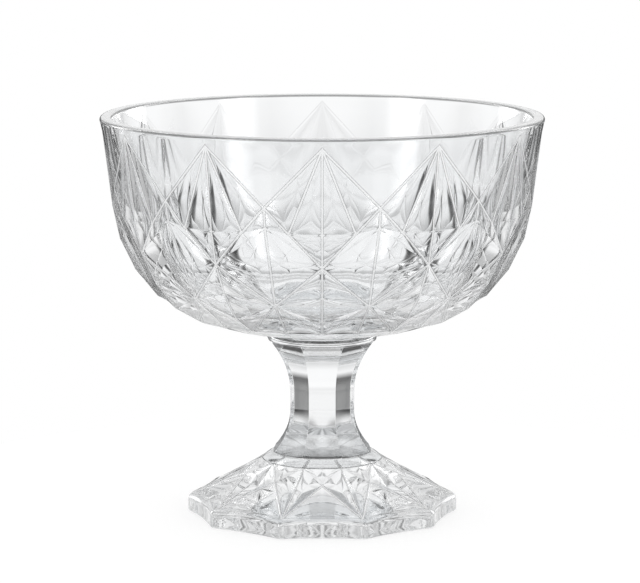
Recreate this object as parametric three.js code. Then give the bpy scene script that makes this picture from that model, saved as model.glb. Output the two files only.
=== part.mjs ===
// Footed glass fruit bowl: a facet-cut bowl on an eight-sided stem and a ten-cornered star foot,
// joined by two round wafers of glass. Millimetres, +Z up, the front of the bowl faces -Y.
// The origin is on the table, on the axis of the bowl.

import * as THREE from 'three';

// Foot: the slab up to its lip, and the star that slopes up from the lip to the pad
const footSideLength = 38.2;
const footLipHeight = 9;
const footLipBevel = 0.8;
const footShoulderRounding = 3.2;
const footCornerDip = 0.5;
const footSideHollow = 1.5;
const footSlopeHeight = 16;
const footSpread = 34.4;
const footPadLedge = 4.4;
const starTipSpread = 9.1;
const starTipDrop = 5.6;
const bladeRidgeSpread = 13.6;
const bladeRidgeDrop = 8;
const bladeWidestSpread = 11.1;
const bladeWidth = 6;
const bladeDepth = 2.2;
const bladeSlope = 0.5;
const restRingWidth = 7;
const undersideHollow = 1;
const hollowSlopeWidth = 2;
const segmentsPerFootSide = 6;
const shoulderSteps = 3;

// Stem
const stemFaceWidth = 12;
const stemWaistApothem = 14.5;
const stemWaistLength = 9;
const stemLowerFlareLength = 18.6;
const stemUpperFlareLength = 24;
const stemLowerFlare = 7.7;
const stemUpperFlare = 8.5;
const stemFlarePower = 2.1;
const stemPointsPerSide = 6;
const stemRingsPerFlare = 12;

// Joining wafers
const waferThickness = 3.2;
const waferBulge = 0.25;
const lowerWaferLedge = 0.8;
const upperWaferLedge = 1.5;
const waferSegments = 64;

// Bowl outside: each row of cut points rises above the row below it and spreads out beyond it, the
// lower rows counted up from the underside and the upper rows counted down from the rim
const rimRadius = 100;
const bowlHeight = 99;
const kiteWidth = 52;
const bowlPadLedge = 0.4;
const baseRingRise = 4.2;
const baseRingSpread = 20.3;
const baseTipRise = 4.7;
const baseTipSpread = 14.8;
const baseStarRise = 0.3;
const baseStarSpread = 1.5;
const baseBendRise = 7.4;
const baseBendSpread = 13.1;
const lowerCrossRise = 7.2;
const lowerCrossSpread = 3.6;
const upperCrossRise = 26.1;
const upperCrossSpread = 4.1;
const peakRise = 25.8;
const peakSpread = 3.9;

// Bowl ridges: points on the cut lines between the crossings
const kiteRidgeDrop = 11.3;
const kiteRidgeInset = 0.8;
const panelRidgeDrop = 8.7;
const panelRidgeInset = 1.3;
const lowerRidgeRise = 4.9;
const lowerRidgeSpread = 6.4;
const fanReach = 0.42;
const fanCrown = 0.7;

// Bowl rim, wall and floor
const bandHeight = 4.5;
const rimOverhang = 0.6;
const rimWall = 5.8;
const rimRounding = 1.6;
const rimBeadHeight = 3;
const upperWall = 7;
const middleWall = 9.5;
const lowerWall = 8.5;
const baseWallInset = 5.9;
const baseWallRise = 6.3;
const floorThickness = 10.5;
const floorSpread = 5.1;
const floorRise = 0.8;
const wallColumnsPerRepeat = 8;
const insideSteps = 24;
const rimSteps = 4;

// Round joints, from the stem's two ends outwards
const lowerJointRadius = stemWaistApothem + stemLowerFlare + lowerWaferLedge;
const upperJointRadius = stemWaistApothem + stemUpperFlare + upperWaferLedge;
const footPadRadius = lowerJointRadius + footPadLedge;
const bowlPadRadius = upperJointRadius + bowlPadLedge;

// Outlines of the foot and the bowl
const footCornerRadius = footPadRadius + footSpread;
const baseRingRadius = bowlPadRadius + baseRingSpread;
const baseTipRadius = baseRingRadius + baseTipSpread;
const baseStarRadius = baseTipRadius + baseStarSpread;
const baseBendRadius = baseStarRadius + baseBendSpread;
const lowerCrossRadius = baseBendRadius + lowerCrossSpread;
const peakRadius = rimRadius - rimOverhang;
const upperCrossRadius = peakRadius - peakSpread;
const middleCrossRadius = upperCrossRadius - upperCrossSpread;

// Whole numbers of foot sides, stem faces and kites that their sizes make room for
const footCorners = Math.round(Math.PI / Math.asin(footSideLength / 2 / footCornerRadius));
const stemSides = Math.round(Math.PI / Math.atan(stemFaceWidth / 2 / stemWaistApothem));
const bowlRepeats = Math.round((2 * Math.PI * peakRadius) / kiteWidth);

// Heights of the bowl's rows above its underside
const baseTipHeight = baseRingRise + baseTipRise;
const baseStarHeight = baseTipHeight + baseStarRise;
const baseBendHeight = baseStarHeight + baseBendRise;
const lowerCrossHeight = baseBendHeight + lowerCrossRise;
const peakHeight = bowlHeight - bandHeight;
const upperCrossHeight = peakHeight - peakRise;
const middleCrossHeight = upperCrossHeight - upperCrossRise;

// Heights of the stack, from the table up
const footHeight = footLipHeight + footSlopeHeight;
const stemLength = stemLowerFlareLength + stemWaistLength + stemUpperFlareLength;
const lowerWaferZ = footHeight;
const stemZ = lowerWaferZ + waferThickness;
const upperWaferZ = stemZ + stemLength;
const bowlZ = upperWaferZ + waferThickness;

const glass = () => new THREE.MeshStandardMaterial({ color: 0xeef3f3, roughness: 0.04, metalness: 0 });

// A closed shell that is swept up the outside from its underside, as rings of points and facets.
class Shell {
  constructor() {
    this.positions = [];
    this.triangles = [];
  }

  // The angle starts at the front and grows towards +X.
  point(radius, angle, height) {
    this.positions.push(radius * Math.sin(angle), -radius * Math.cos(angle), height);
    return this.positions.length / 3 - 1;
  }

  loop(count, place) {
    return Array.from({ length: count }, (_, i) => this.point(...place(i)));
  }

  ring(count, radius, height) {
    return this.loop(count, (i) => [radius, (i / count) * 2 * Math.PI, height]);
  }

  facet(a, b, c) {
    this.triangles.push(a, b, c);
  }

  // side is 1 for a facet as written, and -1 for its mirror image
  mirrored(side, a, b, c) {
    if (side > 0) this.facet(a, b, c);
    else this.facet(a, c, b);
  }

  strip(from, to) {
    from.forEach((a, i) => {
      const j = (i + 1) % from.length;
      this.facet(a, from[j], to[j]);
      this.facet(a, to[j], to[i]);
    });
  }

  strips(loops) {
    loops.slice(1).forEach((loop, i) => this.strip(loops[i], loop));
  }

  closeBelow(loop, height) {
    const centre = this.point(0, 0, height);
    loop.forEach((a, i) => this.facet(centre, loop[(i + 1) % loop.length], a));
  }

  closeAbove(loop, height) {
    const centre = this.point(0, 0, height);
    loop.forEach((a, i) => this.facet(a, loop[(i + 1) % loop.length], centre));
  }

  geometry() {
    const geometry = new THREE.BufferGeometry();
    geometry.setAttribute('position', new THREE.Float32BufferAttribute(this.positions, 3));
    geometry.setIndex(this.triangles);
    geometry.computeVertexNormals();
    return geometry;
  }
}

// Foot: a ten-cornered slab with hollow sides, and a star of flat petals between raised blades

function footOutline(inset) {
  const cornerStep = (2 * Math.PI) / footCorners;
  const corner = (c) => {
    const angle = (c - 0.5) * cornerStep;
    const radius = footCornerRadius - inset;
    return new THREE.Vector2(radius * Math.sin(angle), radius * Math.cos(angle));
  };
  return (i) => {
    const side = Math.floor(i / segmentsPerFootSide);
    const along = (i % segmentsPerFootSide) / segmentsPerFootSide;
    const place = corner(side).lerp(corner(side + 1), along);
    const middleAngle = side * cornerStep;
    const inward = footSideHollow * 4 * along * (1 - along);
    place.x -= inward * Math.sin(middleAngle);
    place.y -= inward * Math.cos(middleAngle);
    return [place.length(), Math.atan2(place.x, place.y)];
  };
}

function footGeometry() {
  const shell = new Shell();
  const count = footCorners * segmentsPerFootSide;
  const cornerStep = (2 * Math.PI) / footCorners;
  const outlineLoop = (inset, height) => {
    const place = footOutline(inset);
    return shell.loop(count, (i) => [...place(i), height]);
  };
  const hollowLoop = (inset, height) => {
    const place = footOutline(inset);
    return shell.loop(count, (i) => [place(0)[0] * Math.cos(cornerStep / 2), place(i)[1], height]);
  };
  // The lip rounds over to its shoulder, and the shoulder dips at the corners.
  const shoulderLoops = Array.from({ length: shoulderSteps + 1 }, (_, step) => {
    const turn = (step / shoulderSteps) * (Math.PI / 2);
    const place = footOutline(footShoulderRounding * (1 - Math.cos(turn)));
    const height = footLipHeight - footShoulderRounding * (1 - Math.sin(turn));
    return shell.loop(count, (i) => [
      ...place(i),
      i % segmentsPerFootSide === 0 ? height - footCornerDip : height,
    ]);
  });
  const shoulder = shoulderLoops[shoulderSteps];
  const hollowInset = footLipBevel + footSideHollow + restRingWidth;
  const hollowTop = hollowLoop(hollowInset + hollowSlopeWidth, undersideHollow);
  shell.closeBelow(hollowTop, undersideHollow);
  shell.strips([
    hollowTop,
    hollowLoop(hollowInset, 0),
    outlineLoop(footLipBevel, 0),
    outlineLoop(0, footLipBevel),
    ...shoulderLoops,
  ]);

  const padPoints = 2 * footCorners;
  const pad = shell.ring(padPoints, footPadRadius, footHeight);
  const tips = shell.loop(footCorners, (k) => [
    footPadRadius + starTipSpread,
    k * cornerStep,
    footHeight - starTipDrop,
  ]);
  const bladeRidgeRadius = footPadRadius + bladeRidgeSpread;
  const bladeRidgeHeight = footHeight - bladeRidgeDrop;
  const bladeWidestRadius = footPadRadius + bladeWidestSpread;
  const ridgeAtWidest = bladeRidgeHeight + bladeSlope * (bladeRidgeRadius - bladeWidestRadius);
  const bladeTurn = bladeWidth / 2 / bladeWidestRadius;

  for (let k = 0; k < footCorners; k += 1) {
    const next = (k + 1) % footCorners;
    const first = k * segmentsPerFootSide;
    for (let i = 0; i < segmentsPerFootSide; i += 1) {
      shell.facet(shoulder[first + i], shoulder[(first + i + 1) % count], tips[k]);
    }
    const padMiddle = pad[2 * k];
    const padCorner = pad[(2 * k + 1) % padPoints];
    const padCornerBefore = pad[(2 * k - 1 + padPoints) % padPoints];
    shell.facet(tips[k], padCorner, padMiddle);
    shell.facet(tips[k], padMiddle, padCornerBefore);

    const lipCorner = shoulder[(first + segmentsPerFootSide) % count];
    const cornerAngle = (k + 0.5) * cornerStep;
    const ridge = shell.point(bladeRidgeRadius, cornerAngle, bladeRidgeHeight);
    for (const side of [-1, 1]) {
      const tip = side < 0 ? tips[k] : tips[next];
      const edgeAngle = cornerAngle + side * bladeTurn;
      const edge = shell.point(bladeWidestRadius, edgeAngle, ridgeAtWidest - bladeDepth);
      shell.mirrored(side, lipCorner, tip, edge);
      shell.mirrored(side, edge, tip, padCorner);
      shell.mirrored(side, lipCorner, edge, ridge);
      shell.mirrored(side, ridge, edge, padCorner);
    }
  }
  shell.closeAbove(pad, footHeight);
  return shell.geometry();
}

// Stem: eight flat sides that curve in to the waist, trimmed round where they meet the wafers

function stemGeometry() {
  const shell = new Shell();
  const count = stemSides * stemPointsPerSide;
  const sideStep = (2 * Math.PI) / stemSides;
  const section = (apothem, limit, height) => shell.loop(count, (i) => {
    const angle = (i / count) * 2 * Math.PI;
    const fromMiddle = angle - Math.round(angle / sideStep) * sideStep;
    return [Math.min(apothem / Math.cos(fromMiddle), limit), angle, height];
  });
  const sections = [];
  for (let i = stemRingsPerFlare; i >= 0; i -= 1) {
    const t = i / stemRingsPerFlare;
    const apothem = stemWaistApothem + stemLowerFlare * t ** stemFlarePower;
    sections.push(section(apothem, lowerJointRadius, stemLowerFlareLength * (1 - t)));
  }
  for (let i = 0; i <= stemRingsPerFlare; i += 1) {
    const t = i / stemRingsPerFlare;
    const apothem = stemWaistApothem + stemUpperFlare * t ** stemFlarePower;
    const height = stemLength - stemUpperFlareLength * (1 - t);
    sections.push(section(apothem, upperJointRadius, height));
  }
  shell.closeBelow(sections[0], 0);
  shell.strips(sections);
  shell.closeAbove(sections[sections.length - 1], stemLength);
  return shell.geometry();
}

// Wafer: a disc of glass, pressed a little barrel-shaped between the two pieces that it joins

function waferGeometry(lowerRadius, upperRadius) {
  const middleRadius = (lowerRadius + upperRadius) / 2 + waferBulge;
  const profile = [
    new THREE.Vector2(0, 0),
    new THREE.Vector2(lowerRadius, 0),
    new THREE.Vector2(middleRadius, waferThickness / 2),
    new THREE.Vector2(upperRadius, waferThickness),
    new THREE.Vector2(0, waferThickness),
  ];
  return new THREE.LatheGeometry(profile, waferSegments).rotateX(Math.PI / 2);
}

// Bowl: a smooth inside, a plain band under the rim, and three rows of cut facets down to the base

function insideProfile() {
  return new THREE.SplineCurve([
    new THREE.Vector2(rimRadius - rimWall, bowlHeight - rimRounding),
    new THREE.Vector2(upperCrossRadius - upperWall, upperCrossHeight),
    new THREE.Vector2(middleCrossRadius - middleWall, middleCrossHeight),
    new THREE.Vector2(lowerCrossRadius - lowerWall, lowerCrossHeight),
    new THREE.Vector2(baseTipRadius - baseWallInset, baseTipHeight + baseWallRise),
    new THREE.Vector2(bowlPadRadius + floorSpread, floorThickness + floorRise),
    new THREE.Vector2(0, floorThickness),
  ]).getPoints(insideSteps);
}

function roundedRimProfile() {
  const quarter = (centreRadius, turn) => Array.from({ length: rimSteps + 1 }, (_, i) => {
    const angle = turn + (i / rimSteps) * (Math.PI / 2);
    return new THREE.Vector2(
      centreRadius + rimRounding * Math.cos(angle),
      bowlHeight - rimRounding + rimRounding * Math.sin(angle),
    );
  });
  return [
    ...quarter(rimRadius - rimRounding, 0),
    ...quarter(rimRadius - rimWall + rimRounding, Math.PI / 2).slice(0, -1),
  ];
}

function bowlGeometry() {
  const shell = new Shell();
  const repeat = (2 * Math.PI) / bowlRepeats;
  const columns = bowlRepeats * wallColumnsPerRepeat;
  const half = wallColumnsPerRepeat / 2;
  const wrap = (list, i) => list[(i + list.length) % list.length];

  // The plain wall is a cone through the peaks and the upper crossings, cut off below by their zigzag.
  const zigzag = shell.loop(columns, (i) => {
    const inRepeat = i % wallColumnsPerRepeat;
    const t = Math.min(inRepeat, wallColumnsPerRepeat - inRepeat) / half;
    return [
      THREE.MathUtils.lerp(peakRadius, upperCrossRadius, t),
      (i / columns) * 2 * Math.PI,
      THREE.MathUtils.lerp(peakHeight, upperCrossHeight, t),
    ];
  });
  const wallSlope = (peakRadius - upperCrossRadius) / (peakHeight - upperCrossHeight);
  const wallTopHeight = bowlHeight - rimBeadHeight;
  const wallTop = shell.ring(columns, peakRadius + wallSlope * (wallTopHeight - peakHeight), wallTopHeight);

  // Points on the middle line of each kite, and on the lines half a repeat on from it
  const onKite = (radius, height) => shell.loop(bowlRepeats, (k) => [radius, k * repeat, height]);
  const between = (radius, height) => shell.loop(bowlRepeats, (k) => [radius, (k + 0.5) * repeat, height]);
  const kiteRidge = onKite(upperCrossRadius - kiteRidgeInset, upperCrossHeight - kiteRidgeDrop);
  const middleCross = onKite(middleCrossRadius, middleCrossHeight);
  const lowerRidge = onKite(lowerCrossRadius + lowerRidgeSpread, lowerCrossHeight + lowerRidgeRise);
  const baseBend = onKite(baseBendRadius, baseBendHeight);
  const baseStar = onKite(baseStarRadius, baseStarHeight);
  const panelRidge = between(upperCrossRadius - panelRidgeInset, upperCrossHeight - panelRidgeDrop);
  const lowerCross = between(lowerCrossRadius, lowerCrossHeight);
  const baseTip = between(baseTipRadius, baseTipHeight);

  const baseCount = 2 * bowlRepeats;
  const baseRing = shell.ring(baseCount, baseRingRadius, baseRingRise);
  const pad = shell.ring(baseCount, bowlPadRadius, 0);
  shell.closeBelow(pad, 0);
  shell.strip(pad, baseRing);

  // The foot of each fan line lies on the edge from an upper to a middle crossing, raised a little.
  const fanRadius = THREE.MathUtils.lerp(upperCrossRadius, middleCrossRadius, fanReach) + fanCrown;
  const fanHeight = THREE.MathUtils.lerp(upperCrossHeight, middleCrossHeight, fanReach);
  const fanTurn = (repeat / 2) * (1 - fanReach);

  for (let k = 0; k < bowlRepeats; k += 1) {
    for (const side of [-1, 1]) {
      const beside = side > 0 ? k : k - 1;
      const fan = shell.point(fanRadius, k * repeat + side * fanTurn, fanHeight);
      const facet = (a, b, c) => shell.mirrored(side, a, b, c);
      const alongEdge = (i) => wrap(zigzag, k * wallColumnsPerRepeat + side * i);
      const edge = Array.from({ length: half + 1 }, (_, i) => alongEdge(i));
      for (let i = 0; i < half; i += 1) facet(edge[i], fan, edge[i + 1]);
      const panel = wrap(panelRidge, beside);
      const low = wrap(lowerCross, beside);
      const tip = wrap(baseTip, beside);
      const baseBeside = wrap(baseRing, 2 * k + side);
      facet(edge[0], kiteRidge[k], fan);
      facet(kiteRidge[k], middleCross[k], fan);
      facet(edge[half], fan, panel);
      facet(fan, middleCross[k], panel);
      facet(middleCross[k], low, panel);
      facet(middleCross[k], lowerRidge[k], low);
      facet(lowerRidge[k], baseBend[k], low);
      facet(baseBend[k], baseStar[k], low);
      facet(baseStar[k], tip, low);
      facet(baseStar[k], baseRing[2 * k], tip);
      facet(tip, baseRing[2 * k], baseBeside);
    }
  }

  // The wall runs up to the rim, over it and down the inside to the floor.
  const inside = insideProfile();
  const upAndOver = [...roundedRimProfile(), ...inside.slice(0, -1)];
  const rings = upAndOver.map((place) => shell.ring(columns, place.x, place.y));
  shell.strips([zigzag, wallTop, ...rings]);
  shell.closeAbove(rings[rings.length - 1], floorThickness);
  return shell.geometry();
}

function piece(name, geometry, height) {
  const mesh = new THREE.Mesh(geometry, glass());
  mesh.name = name;
  mesh.position.z = height;
  return mesh;
}

const fruitBowl = new THREE.Group();
fruitBowl.add(
  piece('foot', footGeometry(), 0),
  piece('lower_wafer', waferGeometry(footPadRadius, lowerJointRadius), lowerWaferZ),
  piece('stem', stemGeometry(), stemZ),
  piece('upper_wafer', waferGeometry(upperJointRadius, bowlPadRadius), upperWaferZ),
  piece('bowl', bowlGeometry(), bowlZ),
);

export default fruitBowl;
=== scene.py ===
"""Footed glass fruit bowl: pressed clear glass with a cut pattern, on a white studio floor.

Every piece stands for the node of the same name and takes its place from the frame. Sizes are in
millimetres and are turned into metres when a mesh is made. The front of the bowl faces -Y.
"""

import math

import bpy
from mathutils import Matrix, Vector


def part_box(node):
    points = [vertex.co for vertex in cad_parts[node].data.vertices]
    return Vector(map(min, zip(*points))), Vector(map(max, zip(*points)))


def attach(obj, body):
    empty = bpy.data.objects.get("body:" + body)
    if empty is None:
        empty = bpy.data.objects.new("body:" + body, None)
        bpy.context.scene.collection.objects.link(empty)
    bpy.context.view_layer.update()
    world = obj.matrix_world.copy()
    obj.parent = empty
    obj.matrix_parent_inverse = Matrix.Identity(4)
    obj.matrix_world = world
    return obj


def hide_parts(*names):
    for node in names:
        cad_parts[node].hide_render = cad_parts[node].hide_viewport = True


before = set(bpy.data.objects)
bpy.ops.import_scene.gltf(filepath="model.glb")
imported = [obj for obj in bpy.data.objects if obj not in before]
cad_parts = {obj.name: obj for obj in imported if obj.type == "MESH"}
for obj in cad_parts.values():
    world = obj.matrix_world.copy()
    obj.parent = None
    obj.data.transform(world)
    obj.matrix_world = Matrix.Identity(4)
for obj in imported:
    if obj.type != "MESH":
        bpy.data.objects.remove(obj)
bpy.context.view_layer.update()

METRES = 0.001

# Places and main sizes, from the frame


def level(node, side):
    """Height of the underside (side 0) or the top (side 1) of a node, in millimetres."""
    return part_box(node)[side].z / METRES


def half_width(node):
    """Half the width of a node along X, in millimetres."""
    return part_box(node)[1].x / METRES


FOOT_TOP = level("foot", 1)
STEM_BASE = level("stem", 0)
STEM_TOP = level("stem", 1)
BOWL_BASE = level("bowl", 0)
BOWL_HEIGHT = level("bowl", 1) - BOWL_BASE
RIM_RADIUS = half_width("bowl")
FOOT_PAD_RADIUS = half_width("lower_wafer")
BOWL_PAD_RADIUS = half_width("upper_wafer")

# The glass pieces reach this far into each other, so that no film of air mirrors at the joints.
JOINT_REACH = 0.03

# Foot
FOOT_CORNERS = 10
FOOT_LIP_HEIGHT = 9
FOOT_CORNER_RADIUS = FOOT_PAD_RADIUS + 34.4
FOOT_SIDE_HOLLOW = 1.5
FOOT_LIP_BEVEL = 0.8
FOOT_SHOULDER_ROUNDING = 3.2
FOOT_CORNER_DIP = 0.5
FOOT_DIP_REACH = 6
STAR_TIP_RADIUS = FOOT_PAD_RADIUS + 9.1
STAR_TIP_HEIGHT = FOOT_TOP - 5.6
BLADE_RIDGE_RADIUS = FOOT_PAD_RADIUS + 13.6
BLADE_RIDGE_HEIGHT = FOOT_TOP - 8
BLADE_WIDEST_RADIUS = FOOT_PAD_RADIUS + 11.1
BLADE_EDGE_HEIGHT = BLADE_RIDGE_HEIGHT - 0.95
BLADE_WIDTH = 6
REST_RING_WIDTH = 7
UNDERSIDE_HOLLOW = 1
HOLLOW_STEPS = 8
FOOT_CORNER_ROUNDING = 1.6
FOOT_CORNER_CUT = FOOT_CORNER_ROUNDING / 4
LIP_STEPS = 4

# Stem
STEM_SIDES = 8
STEM_WAIST_APOTHEM = 14.5
STEM_WAIST_LENGTH = 9
STEM_LOWER_FLARE_LENGTH = 18.6
STEM_LOWER_FLARE = 7.7
STEM_UPPER_FLARE = 8.5
STEM_FLARE_POWER = 2.1
STEM_LOWER_JOINT = STEM_WAIST_APOTHEM + STEM_LOWER_FLARE + 0.8
STEM_UPPER_JOINT = STEM_WAIST_APOTHEM + STEM_UPPER_FLARE + 1.5
STEM_EDGE_ROUNDING = 0.5
STEM_FACE_STEPS = 8
STEM_CORNER_STEPS = 4
STEM_RINGS_PER_FLARE = 36

# Wafers
WAFER_BULGE = 0.25
WAFER_EDGE_STEPS = 8
ROUND_STEPS = 192

# Bowl: radii, and heights above its underside
REPEATS = 12
PEAK = (RIM_RADIUS - 0.6, BOWL_HEIGHT - 4.5)
UPPER_CROSS = (PEAK[0] - 3.9, PEAK[1] - 25.8)
MIDDLE_CROSS = (UPPER_CROSS[0] - 4.1, UPPER_CROSS[1] - 26.1)
BASE_RING = (BOWL_PAD_RADIUS + 20.3, 4.2)
BASE_TIP = (BASE_RING[0] + 14.8, BASE_RING[1] + 4.7)
BASE_STAR = (BASE_TIP[0] + 1.5, BASE_TIP[1] + 0.3)
BASE_BEND = (BASE_STAR[0] + 13.1, BASE_STAR[1] + 7.4)
LOWER_CROSS = (BASE_BEND[0] + 3.6, BASE_BEND[1] + 7.2)
LOWER_RIDGE = (LOWER_CROSS[0] + 6.4, LOWER_CROSS[1] + 4.9)
KITE_RIDGE = (UPPER_CROSS[0] - 0.8, UPPER_CROSS[1] - 11.3)
PANEL_RIDGE = (UPPER_CROSS[0] - 1.3, UPPER_CROSS[1] - 8.7)
FAN_REACH = 0.42
FAN_CROWN = 0.7
RIM_WALL = 5.8
RIM_ROUNDING = 1.6
RIM_BEAD_HEIGHT = 3
UPPER_WALL = 7
MIDDLE_WALL = 9.5
LOWER_WALL = 8.5
BASE_WALL = (5.9, 6.3)
FLOOR_THICKNESS = 10.5
FLOOR_EDGE = (BOWL_PAD_RADIUS + 5.1, FLOOR_THICKNESS + 0.8)
INSIDE_STEPS = 56
RIM_STEPS = 8

# The rim's painted light: a painted highlight on its rounded top, and painted dark shade lines on
# both sides of that. Each begins at a share of the rounding's height.
RIM_PAINTED_HIGHLIGHT = 0.6
RIM_PAINTED_HIGHLIGHT_FROM = 0.75
RIM_PAINTED_SHADE_LINE = 0.2
RIM_PAINTED_SHADE_LINE_FROM = 0.2

# Ridges between cut facets stand proud and round down to the facets within this width, or within a
# share of the way to the middle of a small facet. On the bowl they stand away from a point on its axis.
RIDGE_WIDTH = 0.7
RIDGE_LIMIT = 0.45
BOWL_MIDDLE = 80
MAIN_RIDGE = 0.09
FINE_RIDGE = 0.03
RIDGE_SHARES = (0.3, 0.65, 1)

# The kites' upper edges slope, so a ridge is wider measured straight up than across.
UPRIGHT_STRETCH = math.sqrt(2)

# Cut facets are hollow, with this slope beside an edge. The shape of a hollow is the product of a
# point's shares of the three corners, times the peak, which makes it 1 in the middle. In a facet 1
# high it then falls from the middle of an edge at the edge slope.
HOLLOW_SLOPE = 0.2
BUBBLE_PEAK = 27
BUBBLE_EDGE_SLOPE = BUBBLE_PEAK / 4
FACET_STEPS = 8
FACET_RINGS = 3

# Shading follows the largest faces beside a point as far as it can, on a scale up to 100.
FLAT_FACE_WEIGHT = 100


def ridge_profile(share):
    """Height of a ridge, from 1 on its top to 0 at its foot."""
    return (1 - share * share) ** 2


class Shell:
    """The points and faces of one closed piece of glass.

    Corners are joined by lines of points. A line can carry a ridge, which stands proud of the
    facets beside it, away from the middle of the piece.
    """

    def __init__(self, middle=0.0):
        self.middle = Vector((0, 0, middle))
        self.points = []
        self.faces = []
        self.lines = {}
        self.ridges = {}
        self.raised = {}
        self.painted_light = {}

    def point(self, radius, angle, height):
        """A new point. The angle starts at the front and grows towards +X."""
        return self.place(Vector((radius * math.sin(angle), -radius * math.cos(angle), height)))

    def place(self, position, raised=0.0, edge=0.0):
        """A new point, how far it stands proud, and how much painted highlight or painted shade line it
        carries.
        """
        self.points.append(position)
        self.raised[len(self.points) - 1] = raised
        self.painted_light[len(self.points) - 1] = edge
        return len(self.points) - 1

    def ring(self, count, radius, height, edge=0.0):
        ring = [self.point(radius, math.tau * i / count, height) for i in range(count)]
        for i in ring:
            self.painted_light[i] = edge
        return ring

    def line(self, first, last):
        """Points from one corner to another, made once and shared by the facets on both sides."""
        if (first, last) not in self.lines:
            a, b = self.points[first], self.points[last]
            inner = [self.place(a.lerp(b, i / FACET_STEPS)) for i in range(1, FACET_STEPS)]
            self.curve([first, *inner, last])
        return self.lines[first, last]

    def curve(self, points):
        self.lines[points[0], points[-1]] = points
        self.lines[points[-1], points[0]] = points[::-1]

    def ridge(self, height, *path):
        """Let the lines along a path of corners stand proud, with a painted highlight along their tops."""
        for first, last in zip(path, path[1:]):
            self.ridges[first, last] = self.ridges[last, first] = height
            for i in self.line(first, last):
                self.raised[i] = max(height, self.raised[i])
                self.painted_light[i] = 1.0

    def face(self, *corners):
        self.faces.append(corners)

    def facet(self, side, *corners):
        """A hollow cut facet with three corners. side is -1 for a mirror image."""
        if side < 0:
            corners = corners[::-1]
        a, b, c = (self.points[i] for i in corners)
        normal = (b - a).cross(c - a)
        opposite = ((c - b).length, (a - c).length, (b - a).length)
        middle_shares = [length / sum(opposite) for length in opposite]
        centre = a * middle_shares[0] + b * middle_shares[1] + c * middle_shares[2]
        reach = normal.length / sum(opposite)
        depth = HOLLOW_SLOPE * normal.length / max(opposite) / BUBBLE_EDGE_SLOPE
        normal.normalize()
        width = min(RIDGE_WIDTH, reach * RIDGE_LIMIT)
        distances = [width * share for share in RIDGE_SHARES]
        distances += [width + (reach - width) * i / FACET_RINGS for i in range(1, FACET_RINGS)]

        # Each point of the boundary, its shares of the three corners and the ridge that it is on
        boundary = []
        for i in range(3):
            j = (i + 1) % 3
            ridge = self.ridges.get((corners[i], corners[j]), 0)
            before = self.ridges.get((corners[i - 1], corners[i]), 0)
            for step, point in enumerate(self.line(corners[i], corners[j])[:-1]):
                shares = [0, 0, 0]
                shares[i] = 1 - step / FACET_STEPS
                shares[j] = step / FACET_STEPS
                boundary.append((point, shares, ridge if step else (ridge + before) / 2))

        rings = [[point for point, _, _ in boundary]]
        for distance in distances:
            inward = distance / reach
            ring = []
            for point, shares, ridge in boundary:
                mixed = [s + (m - s) * inward for s, m in zip(shares, middle_shares)]
                position = self.points[point].lerp(centre, inward)
                position = position - normal * (depth * BUBBLE_PEAK * math.prod(mixed))
                profile = ridge_profile(min(distance / width, 1))
                # The painted highlight fades across the ridge and passes a thin painted dark outline on the
                # way.
                ring.append(self.place(position, ridge * profile, profile if ridge else 0.0))
            rings.append(ring)
        self.strips(rings)
        middle = self.place(centre - normal * (depth * BUBBLE_PEAK * math.prod(middle_shares)))
        for first, last in zip(rings[-1], rings[-1][1:] + rings[-1][:1]):
            self.face(first, last, middle)

    def strip(self, lower, upper):
        count = len(lower)
        for i in range(count):
            j = (i + 1) % count
            self.face(lower[i], lower[j], upper[j], upper[i])

    def strips(self, loops):
        for lower, upper in zip(loops, loops[1:]):
            self.strip(lower, upper)

    def close_below(self, loop, height):
        centre = self.point(0, 0, height)
        for a, b in zip(loop, loop[1:] + loop[:1]):
            self.face(centre, b, a)

    def close_above(self, loop, height):
        centre = self.point(0, 0, height)
        for a, b in zip(loop, loop[1:] + loop[:1]):
            self.face(a, b, centre)

    def build(self, name, base=0.0):
        mesh = bpy.data.meshes.new(name)
        points = []
        for i, point in enumerate(self.points):
            raised = point + (point - self.middle).normalized() * self.raised[i]
            points.append((raised + Vector((0, 0, base))) * METRES)
        mesh.from_pydata(points, [], self.faces)
        mesh.shade_smooth()
        # The painted highlights and painted shade lines go to the material as the point attribute named
        # edge.
        painted_light = mesh.attributes.new("edge", "FLOAT", "POINT")
        painted_light.data.foreach_set("value", [self.painted_light[i] for i in range(len(points))])
        piece = bpy.data.objects.new(name, mesh)
        bpy.context.scene.collection.objects.link(piece)
        normals = piece.modifiers.new("flat facets", "WEIGHTED_NORMAL")
        normals.weight = FLAT_FACE_WEIGHT
        return piece


# Foot: a ten-cornered slab with hollow sides, and a star of flat petals between raised blades


def foot_outline(inset):
    """(radius, angle) of each point round the foot's outline, with its corners taken off."""
    step = math.tau / FOOT_CORNERS
    radius = FOOT_CORNER_RADIUS - inset
    side_length = 2 * radius * math.sin(step / 2)
    edge = FOOT_CORNER_ROUNDING / side_length
    shares = [edge + (1 - 2 * edge) * i / (FACET_STEPS - 2) for i in range(FACET_STEPS - 1)]
    places = []
    for side in range(FOOT_CORNERS):
        first = (side - 0.5) * step
        last = (side + 0.5) * step
        places.append((radius - FOOT_CORNER_CUT, first))
        for along in shares:
            inward = FOOT_SIDE_HOLLOW * 4 * along * (1 - along)
            x = radius * (math.sin(first) * (1 - along) + math.sin(last) * along)
            y = radius * (math.cos(first) * (1 - along) + math.cos(last) * along)
            x -= inward * math.sin(side * step)
            y -= inward * math.cos(side * step)
            places.append((math.hypot(x, y), math.atan2(x, y)))
    return places


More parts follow.
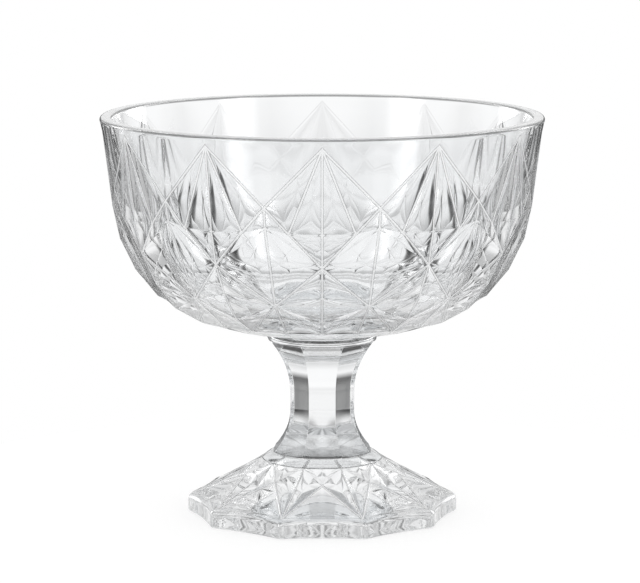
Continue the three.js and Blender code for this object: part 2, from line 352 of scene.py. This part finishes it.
def make_foot():
    shell = Shell(-FOOT_TOP)
    step = math.tau / FOOT_CORNERS
    count = FOOT_CORNERS * FACET_STEPS

    def outline(inset, height, dip=0.0):
        """A loop round the foot. Its corners lie lower by the dip."""
        loop = []
        for radius, angle in foot_outline(inset):
            from_middle = abs(angle - round(angle / step) * step)
            to_corner = (step / 2 - from_middle) * radius
            share = max(0, 1 - to_corner / FOOT_DIP_REACH)
            loop.append(shell.point(radius, angle, height - dip * share * share))
        return loop

    def hollow(inset, height):
        """A round loop under the foot, with as many points as the outline."""
        places = foot_outline(inset)
        radius = places[0][0] * math.cos(step / 2)
        return [shell.point(radius, angle, height) for _, angle in places]

    hollow_inset = FOOT_LIP_BEVEL + FOOT_SIDE_HOLLOW + REST_RING_WIDTH
    hollow_radius = foot_outline(hollow_inset)[0][0]
    loops = []
    for i in range(HOLLOW_STEPS, -1, -1):
        share = i / (HOLLOW_STEPS + 1)
        height = UNDERSIDE_HOLLOW * (1 - (1 - share) ** 2)
        loops.append(hollow(hollow_inset + hollow_radius * share, height))
    for i in range(LIP_STEPS + 1):
        turn = math.pi / 2 * i / LIP_STEPS
        height = FOOT_LIP_BEVEL * (1 - math.cos(turn))
        loops.append(outline(FOOT_LIP_BEVEL * (1 - math.sin(turn)), height))
    for i in range(LIP_STEPS + 1):
        turn = math.pi / 2 * i / LIP_STEPS
        height = FOOT_LIP_HEIGHT - FOOT_SHOULDER_ROUNDING * (1 - math.sin(turn))
        loops.append(outline(FOOT_SHOULDER_ROUNDING * (1 - math.cos(turn)), height, FOOT_CORNER_DIP))
    shoulder = loops[-1]
    shell.close_below(loops[0], UNDERSIDE_HOLLOW)
    shell.strips(loops)

    pad = shell.ring(FOOT_CORNERS * 2 * FACET_STEPS, FOOT_PAD_RADIUS, FOOT_TOP)
    tips = [shell.point(STAR_TIP_RADIUS, k * step, STAR_TIP_HEIGHT) for k in range(FOOT_CORNERS)]
    ridges = [
        shell.point(BLADE_RIDGE_RADIUS, (k + 0.5) * step, BLADE_RIDGE_HEIGHT) for k in range(FOOT_CORNERS)
    ]
    blade_turn = BLADE_WIDTH / 2 / BLADE_WIDEST_RADIUS

    for k in range(FOOT_CORNERS):
        first = k * FACET_STEPS
        shell.curve([shoulder[(first + i) % count] for i in range(FACET_STEPS + 1)])
        for half in (2 * k, 2 * k + 1):
            first = half * FACET_STEPS
            shell.curve([pad[(first + i) % len(pad)] for i in range(FACET_STEPS + 1)])

    for k in range(FOOT_CORNERS):
        tip = tips[k]
        left, right = shoulder[k * FACET_STEPS], shoulder[(k + 1) * FACET_STEPS % count]
        pad_tip = pad[2 * k * FACET_STEPS]
        angles = ((k - 0.5) * step, (k + 0.5) * step)
        shell.ridge(MAIN_RIDGE, left, tip, right)
        shell.facet(1, left, right, tip)
        for side, corner, angle in zip((-1, 1), (left, right), angles):
            pad_corner = pad[(2 * k + side) * FACET_STEPS % len(pad)]
            ridge = ridges[round(angle / step - 0.5) % FOOT_CORNERS]
            edge = shell.point(BLADE_WIDEST_RADIUS, angle - side * blade_turn, BLADE_EDGE_HEIGHT)
            shell.ridge(FINE_RIDGE, corner, ridge, pad_corner)
            shell.facet(side, tip, pad_corner, pad_tip)
            shell.facet(side, corner, edge, tip)
            shell.facet(side, edge, pad_corner, tip)
            shell.facet(side, corner, ridge, edge)
            shell.facet(side, ridge, pad_corner, edge)
    shell.close_above(pad, FOOT_TOP)
    return shell.build("foot_glass")


# Stem: eight flat sides that curve in to the waist, trimmed round where they meet the wafers


def make_stem():
    shell = Shell()
    half_side = math.pi / STEM_SIDES
    length = STEM_TOP - STEM_BASE

    def section_places(apothem):
        """(radius, angle) round one section, with each corner of the octagon rounded."""
        rounding = STEM_EDGE_ROUNDING
        flat = (apothem - rounding) * math.tan(half_side)
        corner_distance = (apothem - rounding) / math.cos(half_side)
        places = []
        for side in range(STEM_SIDES):
            middle = side * 2 * half_side
            for i in range(STEM_FACE_STEPS):
                across = flat * (2 * i / STEM_FACE_STEPS - 1)
                places.append((math.hypot(apothem, across), middle + math.atan2(across, apothem)))
            for i in range(STEM_CORNER_STEPS):
                turn = half_side * (2 * i / STEM_CORNER_STEPS - 1)
                out = corner_distance + rounding * math.cos(turn)
                across = rounding * math.sin(turn)
                corner_angle = middle + half_side
                places.append((math.hypot(out, across), corner_angle + math.atan2(across, out)))
        return places

    def section(apothem, limit, height):
        """One loop round the stem, trimmed to a limiting radius."""
        places = section_places(apothem)
        return [shell.point(min(radius, limit), angle, height) for radius, angle in places]

    upper_flare_length = length - STEM_WAIST_LENGTH - STEM_LOWER_FLARE_LENGTH
    sections = []
    for i in range(STEM_RINGS_PER_FLARE, -1, -1):
        t = i / STEM_RINGS_PER_FLARE
        apothem = STEM_WAIST_APOTHEM + STEM_LOWER_FLARE * t ** STEM_FLARE_POWER
        sections.append(section(apothem, STEM_LOWER_JOINT, STEM_LOWER_FLARE_LENGTH * (1 - t)))
    for i in range(STEM_RINGS_PER_FLARE + 1):
        t = i / STEM_RINGS_PER_FLARE
        apothem = STEM_WAIST_APOTHEM + STEM_UPPER_FLARE * t ** STEM_FLARE_POWER
        sections.append(section(apothem, STEM_UPPER_JOINT, length - upper_flare_length * (1 - t)))
    shell.close_below(sections[0], 0)
    shell.strips(sections)
    shell.close_above(sections[-1], length)
    return shell.build("stem_glass", STEM_BASE)


# Wafers: discs of glass between the pieces, with a rounded edge


def make_wafer(name, node, lower_radius, upper_radius):
    shell = Shell()
    thickness = level(node, 1) - level(node, 0)
    rings = []
    for i in range(WAFER_EDGE_STEPS + 1):
        t = i / WAFER_EDGE_STEPS
        radius = lower_radius + (upper_radius - lower_radius) * t + WAFER_BULGE * math.sin(math.pi * t)
        height = (thickness + 2 * JOINT_REACH) * t - JOINT_REACH
        rings.append(shell.ring(ROUND_STEPS, radius, height))
    shell.close_below(rings[0], -JOINT_REACH)
    shell.strips(rings)
    shell.close_above(rings[-1], thickness + JOINT_REACH)
    return shell.build(name, level(node, 0))


# Bowl: a smooth inside, a plain band under the rim, and rows of cut facets down to the base


def smooth_step(a, b, c, d, t):
    """A value on the way from b (t = 0) to c (t = 1), on a smooth curve from a to d."""
    slope = c - a
    bend = 2 * a - 5 * b + 4 * c - d
    twist = 3 * b - a - 3 * c + d
    return 0.5 * (2 * b + slope * t + bend * t * t + twist * t ** 3)


def spline(points, steps):
    """Points on a smooth curve through the given ones."""
    padded = [points[0], *points, points[-1]]
    curve = []
    spans = len(points) - 1
    for i in range(steps + 1):
        place = i / steps * spans
        span = min(int(place), spans - 1)
        t = place - span
        curve.append(tuple(smooth_step(*values, t) for values in zip(*padded[span:span + 4])))
    return curve


def inside_profile():
    """The smooth inside of the bowl, from below the rim to the middle of the floor."""
    return spline([
        (RIM_RADIUS - RIM_WALL, BOWL_HEIGHT - RIM_ROUNDING),
        (UPPER_CROSS[0] - UPPER_WALL, UPPER_CROSS[1]),
        (MIDDLE_CROSS[0] - MIDDLE_WALL, MIDDLE_CROSS[1]),
        (LOWER_CROSS[0] - LOWER_WALL, LOWER_CROSS[1]),
        (BASE_TIP[0] - BASE_WALL[0], BASE_TIP[1] + BASE_WALL[1]),
        FLOOR_EDGE,
        (0, FLOOR_THICKNESS),
    ], INSIDE_STEPS)


def rim_profile():
    """The rounded top of the rim, from its outside to its inside."""
    places = []
    top = BOWL_HEIGHT - RIM_ROUNDING
    centres = (RIM_RADIUS - RIM_ROUNDING, RIM_RADIUS - RIM_WALL + RIM_ROUNDING)
    for quarter, centre in enumerate(centres):
        for i in range(RIM_STEPS + 1):
            angle = math.pi / 2 * (quarter + i / RIM_STEPS)
            places.append((centre + RIM_ROUNDING * math.cos(angle), top + RIM_ROUNDING * math.sin(angle)))
    return places[:-1]


def rim_painted_light(height):
    """How much painted highlight or painted shade line the wall carries at a height."""
    rise = (height - BOWL_HEIGHT) / RIM_ROUNDING + 1
    if rise > RIM_PAINTED_HIGHLIGHT_FROM:
        return RIM_PAINTED_HIGHLIGHT
    return RIM_PAINTED_SHADE_LINE if rise > RIM_PAINTED_SHADE_LINE_FROM else 0.0


def make_bowl():
    shell = Shell(BOWL_MIDDLE)
    repeat = math.tau / REPEATS
    columns = REPEATS * 2 * FACET_STEPS

    def on_kite(place):
        return [shell.point(place[0], k * repeat, place[1]) for k in range(REPEATS)]

    def between_kites(place):
        return [shell.point(place[0], (k + 0.5) * repeat, place[1]) for k in range(REPEATS)]

    peaks = on_kite(PEAK)
    upper_cross = between_kites(UPPER_CROSS)
    kite_ridge = on_kite(KITE_RIDGE)
    middle_cross = on_kite(MIDDLE_CROSS)
    lower_ridge = on_kite(LOWER_RIDGE)
    base_bend = on_kite(BASE_BEND)
    base_star = on_kite(BASE_STAR)
    panel_ridge = between_kites(PANEL_RIDGE)
    lower_cross = between_kites(LOWER_CROSS)
    base_tip = between_kites(BASE_TIP)

    fan_radius = UPPER_CROSS[0] + (MIDDLE_CROSS[0] - UPPER_CROSS[0]) * FAN_REACH + FAN_CROWN
    fan_height = UPPER_CROSS[1] + (MIDDLE_CROSS[1] - UPPER_CROSS[1]) * FAN_REACH
    fan_turn = repeat / 2 * (1 - FAN_REACH)

    base_count = 2 * REPEATS
    base_ring = shell.ring(base_count, *BASE_RING)
    pad = shell.ring(base_count * FACET_STEPS, BOWL_PAD_RADIUS, 0)
    shell.close_below(pad, 0)
    base_edge = []
    for i in range(base_count):
        base_edge += shell.line(base_ring[i], base_ring[(i + 1) % base_count])[:-1]
    shell.strip(pad, base_edge)

    for k in range(REPEATS):
        base_below = base_ring[2 * k]
        shell.ridge(FINE_RIDGE, peaks[k], kite_ridge[k], middle_cross[k])
        shell.ridge(FINE_RIDGE, middle_cross[k], lower_ridge[k], base_bend[k], base_star[k])
        for side in (-1, 1):
            beside = k if side > 0 else k - 1
            fan = shell.point(fan_radius, k * repeat + side * fan_turn, fan_height)
            cross = upper_cross[beside]
            panel = panel_ridge[beside]
            low = lower_cross[beside]
            tip = base_tip[beside]
            base_beside = base_ring[(2 * k + side) % base_count]
            shell.ridge(MAIN_RIDGE, peaks[k], cross, fan, middle_cross[k], low)
            shell.ridge(FINE_RIDGE, peaks[k], fan)
            shell.ridge(FINE_RIDGE, cross, panel, low, base_star[k])
            shell.ridge(FINE_RIDGE, low, tip)
            for corners in (
                (peaks[k], fan, cross),
                (peaks[k], kite_ridge[k], fan),
                (kite_ridge[k], middle_cross[k], fan),
                (cross, fan, panel),
                (fan, middle_cross[k], panel),
                (middle_cross[k], low, panel),
                (middle_cross[k], lower_ridge[k], low),
                (lower_ridge[k], base_bend[k], low),
                (base_bend[k], base_star[k], low),
                (base_star[k], tip, low),
                (base_star[k], base_below, tip),
                (tip, base_below, base_beside),
            ):
                shell.facet(side, *corners)

    # The straight upper edges of the kites, from peak to crossing to peak
    zigzag = []
    for k in range(REPEATS):
        zigzag += shell.line(peaks[k], upper_cross[k])[:-1]
        zigzag += shell.line(upper_cross[k], peaks[(k + 1) % REPEATS])[:-1]

    # The wall runs up to the rim, over it and down the inside to the floor.
    slope = (PEAK[0] - UPPER_CROSS[0]) / (PEAK[1] - UPPER_CROSS[1])
    wall_top = BOWL_HEIGHT - RIM_BEAD_HEIGHT
    wall = [(PEAK[0] + slope * (wall_top - PEAK[1]), wall_top)]
    wall += rim_profile()
    wall += inside_profile()[:-1]
    # The rings over the rim carry its painted highlight and painted shade lines.
    rings = [shell.ring(columns, radius, height, rim_painted_light(height)) for radius, height in wall]
    rows = [zigzag]
    for share in RIDGE_SHARES:
        rise = RIDGE_WIDTH * share * UPRIGHT_STRETCH
        ridge = ridge_profile(share)
        row = []
        for edge, top in zip(zigzag, rings[0]):
            below, above = shell.points[edge], shell.points[top]
            position = below.lerp(above, rise / (above.z - below.z))
            row.append(shell.place(position, MAIN_RIDGE * ridge, ridge))
        rows.append(row)
    shell.strips([*rows, *rings])
    shell.close_above(rings[-1], FLOOR_THICKNESS)
    return shell.build("bowl_glass", BOWL_BASE)


# Materials

WHITE = (1, 1, 1, 1)


def node_material(name):
    material = bpy.data.materials.new(name)
    material.use_nodes = True
    tree = material.node_tree
    tree.nodes.clear()
    output = tree.nodes.new("ShaderNodeOutputMaterial")
    return material, tree, output


def maths(tree, operation, *values):
    """The result of an operation on numbers and sockets."""
    node = tree.nodes.new("ShaderNodeMath")
    node.operation = operation
    for socket, value in zip(node.inputs, values):
        if isinstance(value, (int, float)):
            socket.default_value = value
        else:
            tree.links.new(value, socket)
    return node.outputs[0]


def share_of(tree, value):
    """A value from -1 to 1, as a share from 0 to 1."""
    return maths(tree, "MULTIPLY_ADD", value, 0.5, 0.5)


def blend(tree, factor, first, second):
    """first where the factor is 0, and second where it is 1."""
    return maths(tree, "ADD", maths(tree, "MULTIPLY", factor, second), maths(
        tree, "MULTIPLY", maths(tree, "SUBTRACT", 1.0, factor), first))


def ramp(tree, stops, position):
    """The brightness at a position, from (position, brightness) stops."""
    node = tree.nodes.new("ShaderNodeValToRGB")
    elements = node.color_ramp.elements
    while len(elements) < len(stops):
        elements.new(1.0)
    for element, (place, value) in zip(elements, stops):
        element.position = place
        element.color = (value, value, value, 1)
    tree.links.new(position, node.inputs["Fac"])
    return node.outputs["Color"]


def split(tree, vector):
    """The X, Y and Z of a vector."""
    node = tree.nodes.new("ShaderNodeSeparateXYZ")
    tree.links.new(vector, node.inputs[0])
    return node.outputs


# Glass: how much it bends light, and the faint waves in it. The waves change its tint from their
# troughs to their crests, its roughness from none to a little, and its surface.
GLASS_IOR = 1.5
WAVE_SCALE = 60
WAVE_DETAIL = 2
WAVE_STRENGTH = 0.03
WAVE_HEIGHT = 0.001
TROUGH_TINT = (0.963, 0.972, 0.979, 1)
CREST_TINT = (0.983, 0.988, 0.992, 1)
CREST_ROUGHNESS = 0.012

# How white the painted highlight on the tops of the cut lines is, and how clear the glass is from beside a
# line (0) to its top (1). Each line has a thin painted dark outline of shade.
PAINTED_HIGHLIGHT_WHITENESS = 0.85
PAINTED_OUTLINE_SHADE_STOPS = ((0.0, 1.0), (0.1, 0.5), (0.2, 0.3), (0.3, 0.5), (0.5, 1.0))

# The colour sockets of a mix node come after those for numbers and vectors.
MIX_COLOURS_IN = (6, 7)
MIX_COLOUR_OUT = 2


def clear_glass():
    """Fire-polished clear glass: faint waves in the surface, a trace of blue-grey in the body, and
    cut lines with a painted soft white highlight and a painted dark outline."""
    material, tree, output = node_material("clear pressed glass")
    shader = tree.nodes.new("ShaderNodeBsdfPrincipled")
    shader.inputs["IOR"].default_value = GLASS_IOR
    place = tree.nodes.new("ShaderNodeTexCoord")
    waves = tree.nodes.new("ShaderNodeTexNoise")
    waves.inputs["Scale"].default_value = WAVE_SCALE
    waves.inputs["Detail"].default_value = WAVE_DETAIL
    tint = tree.nodes.new("ShaderNodeValToRGB")
    tint.color_ramp.elements[0].color = TROUGH_TINT
    tint.color_ramp.elements[1].color = CREST_TINT
    gloss = tree.nodes.new("ShaderNodeMapRange")
    gloss.inputs["To Min"].default_value = 0.0
    gloss.inputs["To Max"].default_value = CREST_ROUGHNESS
    bump = tree.nodes.new("ShaderNodeBump")
    bump.inputs["Strength"].default_value = WAVE_STRENGTH
    bump.inputs["Distance"].default_value = WAVE_HEIGHT

    # The painted highlight on the cut lines, and its painted dark outline, show only on the outer side of
    # the glass.
    edge = tree.nodes.new("ShaderNodeAttribute")
    edge.attribute_name = "edge"
    surface = tree.nodes.new("ShaderNodeNewGeometry")
    outside = maths(tree, "SUBTRACT", 1.0, surface.outputs["Backfacing"])
    outer_painted_light = maths(tree, "MULTIPLY", edge.outputs["Fac"], outside)
    clear = tree.nodes.new("ShaderNodeMapRange")
    clear.inputs["To Min"].default_value = 1.0
    clear.inputs["To Max"].default_value = 1.0 - PAINTED_HIGHLIGHT_WHITENESS
    # The base colour is the glass's tint times the painted shade of the cut lines' outlines.
    shaded = tree.nodes.new("ShaderNodeMix")
    shaded.data_type = "RGBA"
    shaded.blend_type = "MULTIPLY"
    shaded.inputs["Factor"].default_value = 1.0
    first_colour, second_colour = (shaded.inputs[i] for i in MIX_COLOURS_IN)

    link = tree.links.new
    link(place.outputs["Object"], waves.inputs["Vector"])
    link(waves.outputs["Fac"], tint.inputs["Fac"])
    link(waves.outputs["Fac"], gloss.inputs["Value"])
    link(waves.outputs["Fac"], bump.inputs["Height"])
    link(tint.outputs["Color"], first_colour)
    link(ramp(tree, PAINTED_OUTLINE_SHADE_STOPS, outer_painted_light), second_colour)
    link(outer_painted_light, clear.inputs["Value"])
    link(clear.outputs["Result"], shader.inputs["Transmission Weight"])
    link(shaded.outputs[MIX_COLOUR_OUT], shader.inputs["Base Color"])
    link(gloss.outputs["Result"], shader.inputs["Roughness"])
    link(bump.outputs["Normal"], shader.inputs["Normal"])
    link(shader.outputs["BSDF"], output.inputs["Surface"])
    return material


# The room as the glass shows it. Panels stand round it: their brightness from the gap between two
# of them (0) to the middle of one (1), and against height from the floor (0) over the horizon (0.5)
# to the top (1). The gaps narrow and widen with height. A light ceiling takes over above the panels.
PANELS_ROUND = 8
PANEL_STOPS = (
    (0.0, 0.0), (0.02, 0.04), (0.05, 0.13), (0.1, 0.32), (0.16, 0.62), (0.21, 0.9), (0.3, 0.96), (1.0, 1.0),
)
PANEL_WAVE = 0.03
PANEL_WAVES = 11
PANEL_WAVE_TOP = -0.21
WALL_STOPS = (
    (0.0, 0.55), (0.27, 0.55), (0.33, 0.65), (0.37, 0.88), (0.405, 0.98), (0.43, 0.86), (0.455, 1.0),
)
CEILING_SHARE_STOPS = ((0.53, 0.0), (0.6, 1.0))
CEILING_STOPS = ((0.6, 0.98), (0.67, 0.76), (0.75, 0.9), (0.82, 0.62), (0.9, 0.3), (1.0, 0.6))

# The lamps that the glass mirrors, on four sides: their brightness against the cosine of the angle
# from the front or the back, and against height. The rest of the room is a light band over a dark floor.
LAMP_SIDE_STOPS = ((0.46, 0.0), (0.58, 1.0), (0.66, 1.0), (0.8, 0.0))
LAMP_HEIGHT_STOPS = ((0.44, 0.0), (0.5, 1.0), (0.86, 1.0), (0.93, 0.0))
LAMP_STRENGTH = 6
MIRRORED_STOPS = ((0.51, 0.06), (0.535, 0.9), (0.62, 0.8), (0.7, 0.2))


def panels(tree, direction):
    """Brightness of the ring of panels in a direction from the axis of the bowl."""
    x, y, z = split(tree, direction)
    angle = maths(tree, "ARCTAN2", x, y)
    across = maths(tree, "COSINE", maths(tree, "MULTIPLY", angle, PANELS_ROUND))
    rise = maths(tree, "SUBTRACT", z, PANEL_WAVE_TOP)
    wave = maths(tree, "COSINE", maths(tree, "MULTIPLY", rise, PANEL_WAVES))
    share = maths(tree, "MULTIPLY_ADD", wave, PANEL_WAVE, share_of(tree, across))
    return ramp(tree, PANEL_STOPS, share)


def room(tree, direction):
    """Brightness of the room through the glass in a direction."""
    height = share_of(tree, split(tree, direction)["Z"])
    walls = maths(tree, "MULTIPLY", panels(tree, direction), ramp(tree, WALL_STOPS, height))
    ceiling = ramp(tree, CEILING_STOPS, height)
    return blend(tree, ramp(tree, CEILING_SHARE_STOPS, height), walls, ceiling)


def lamps(tree, direction):
    """Brightness of what the glass mirrors in a direction."""
    x, y, z = split(tree, direction)
    side = maths(tree, "ABSOLUTE", maths(tree, "COSINE", maths(tree, "ARCTAN2", x, y)))
    height = share_of(tree, z)
    lamp = maths(tree, "MULTIPLY", ramp(tree, LAMP_SIDE_STOPS, side), ramp(tree, LAMP_HEIGHT_STOPS, height))
    return maths(tree, "MULTIPLY_ADD", lamp, LAMP_STRENGTH, ramp(tree, MIRRORED_STOPS, height))


# The floor, in metres: a disc that lies just under the foot. It scatters a part of the light and glows
# to the eye. Through the glass its glow is painted with rays of light near its middle (0), panels at its
# edge (1).
FLOOR_RADIUS = 0.22
FLOOR_STEPS = 96
FLOOR_DROP = 0.0002
FLOOR_COLOUR = 0.3
FLOOR_GLOW = 0.76
FLOOR_PANEL_STOPS = ((0.35, 0.0), (0.9, 1.0))

# Two sets of painted rays of light cross: how many there are in each, and their brightness from the
# gaps (0) to the middles (1)
RAYS_ROUND = (30, 50)
RAY_STOPS = ((0.1, 0.5), (0.45, 0.77), (0.8, 1.0))


def rays(tree, place):
    """Brightness of painted rays of light, like those that the facets throw on the floor round the foot."""
    x, y, _ = split(tree, place)
    angle = maths(tree, "ARCTAN2", x, y)
    share = 0.5
    for count in RAYS_ROUND:
        ray = maths(tree, "COSINE", maths(tree, "MULTIPLY", angle, count))
        share = maths(tree, "MULTIPLY_ADD", ray, 0.5 / len(RAYS_ROUND), share)
    return ramp(tree, RAY_STOPS, share)


def white_floor():
    """White, with the shadow of the bowl. Through the glass its glow shows painted rays and panels."""
    material, tree, output = node_material("white floor")
    link = tree.links.new
    matt = tree.nodes.new("ShaderNodeBsdfDiffuse")
    matt.inputs["Color"].default_value = (FLOOR_COLOUR, FLOOR_COLOUR, FLOOR_COLOUR, 1)
    glow = tree.nodes.new("ShaderNodeEmission")
    glow.inputs["Color"].default_value = WHITE
    both = tree.nodes.new("ShaderNodeAddShader")
    place = tree.nodes.new("ShaderNodeTexCoord").outputs["Object"]
    distance = tree.nodes.new("ShaderNodeVectorMath")
    distance.operation = "LENGTH"
    link(place, distance.inputs[0])
    apart = maths(tree, "DIVIDE", distance.outputs["Value"], FLOOR_RADIUS)

    # On the floor the gaps between the painted panels keep one width.
    below = tree.nodes.new("ShaderNodeVectorMath")
    below.operation = "ADD"
    below.inputs[1].default_value = (0, 0, PANEL_WAVE_TOP)
    link(place, below.inputs[0])
    shade = panels(tree, below.outputs["Vector"])
    shade = blend(tree, ramp(tree, FLOOR_PANEL_STOPS, apart), rays(tree, place), shade)
    path = tree.nodes.new("ShaderNodeLightPath")
    seen = maths(tree, "MAXIMUM", path.outputs["Is Camera Ray"], path.outputs["Is Glossy Ray"])
    through_glass = maths(tree, "SUBTRACT", shade, FLOOR_COLOUR)
    strength = blend(tree, path.outputs["Is Transmission Ray"], FLOOR_GLOW, through_glass)
    link(maths(tree, "MULTIPLY", seen, strength), glow.inputs["Strength"])
    link(matt.outputs[0], both.inputs[0])
    link(glow.outputs[0], both.inputs[1])
    link(both.outputs[0], output.inputs["Surface"])
    return material


# Stage, light and camera


def make_floor():
    mesh = bpy.data.meshes.new("floor")
    angles = [math.tau * i / FLOOR_STEPS for i in range(FLOOR_STEPS)]
    edge = [(FLOOR_RADIUS * math.cos(a), FLOOR_RADIUS * math.sin(a), -FLOOR_DROP) for a in angles]
    mesh.from_pydata(edge, [], [range(FLOOR_STEPS)])
    floor = bpy.data.objects.new("floor", mesh)
    bpy.context.scene.collection.objects.link(floor)
    mesh.materials.append(white_floor())


def make_world():
    """A white room. Through the glass it is a ring of panels, and the glass mirrors lamps on four sides."""
    world = bpy.data.worlds.new("studio")
    bpy.context.scene.world = world
    world.use_nodes = True
    tree = world.node_tree
    tree.nodes.clear()
    output = tree.nodes.new("ShaderNodeOutputWorld")
    background = tree.nodes.new("ShaderNodeBackground")
    background.inputs["Color"].default_value = WHITE
    direction = tree.nodes.new("ShaderNodeTexCoord").outputs["Generated"]
    path = tree.nodes.new("ShaderNodeLightPath")
    strength = blend(tree, path.outputs["Is Glossy Ray"], 1.0, lamps(tree, direction))
    strength = blend(tree, path.outputs["Is Transmission Ray"], strength, room(tree, direction))
    tree.links.new(strength, background.inputs["Strength"])
    tree.links.new(background.outputs[0], output.inputs["Surface"])


# Camera: its focal length and the offset of the bowl's axis in pixels of the picture's width, and
# its place in metres
FOCAL_PIXELS = 3264
PICTURE_WIDTH = 640
AXIS_OFFSET_PIXELS = 2.2
CAMERA_DISTANCE = 1.46245
CAMERA_HEIGHT = 0.3336
CAMERA_PITCH = math.radians(9.0221)


def make_camera():
    data = bpy.data.cameras.new("camera")
    data.sensor_fit = "HORIZONTAL"
    data.lens = FOCAL_PIXELS / PICTURE_WIDTH * data.sensor_width
    data.shift_x = -AXIS_OFFSET_PIXELS / PICTURE_WIDTH
    camera = bpy.data.objects.new("camera", data)
    camera.location = (0, -CAMERA_DISTANCE, CAMERA_HEIGHT)
    camera.rotation_euler = (math.pi / 2 - CAMERA_PITCH, 0, 0)
    bpy.context.scene.collection.objects.link(camera)
    bpy.context.scene.camera = camera


# How often light is bent by the glass, mirrored and scattered before it is lost
BENDS = 32
MIRRORINGS = 16
SCATTERINGS = 3


def set_render():
    scene = bpy.context.scene
    scene.view_settings.view_transform = "Standard"
    scene.cycles.max_bounces = BENDS
    scene.cycles.transmission_bounces = BENDS
    scene.cycles.glossy_bounces = MIRRORINGS
    scene.cycles.diffuse_bounces = SCATTERINGS


make_camera()
set_render()
make_world()
make_floor()

glass = clear_glass()
pieces = {
    "foot": make_foot(),
    "lower_wafer": make_wafer("lower_wafer_glass", "lower_wafer", FOOT_PAD_RADIUS, STEM_LOWER_JOINT),
    "stem": make_stem(),
    "upper_wafer": make_wafer("upper_wafer_glass", "upper_wafer", STEM_UPPER_JOINT, BOWL_PAD_RADIUS),
    "bowl": make_bowl(),
}
for node, piece in pieces.items():
    piece.data.materials.append(glass)
    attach(piece, "root")
    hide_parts(node)

bpy.context.view_layer.update()
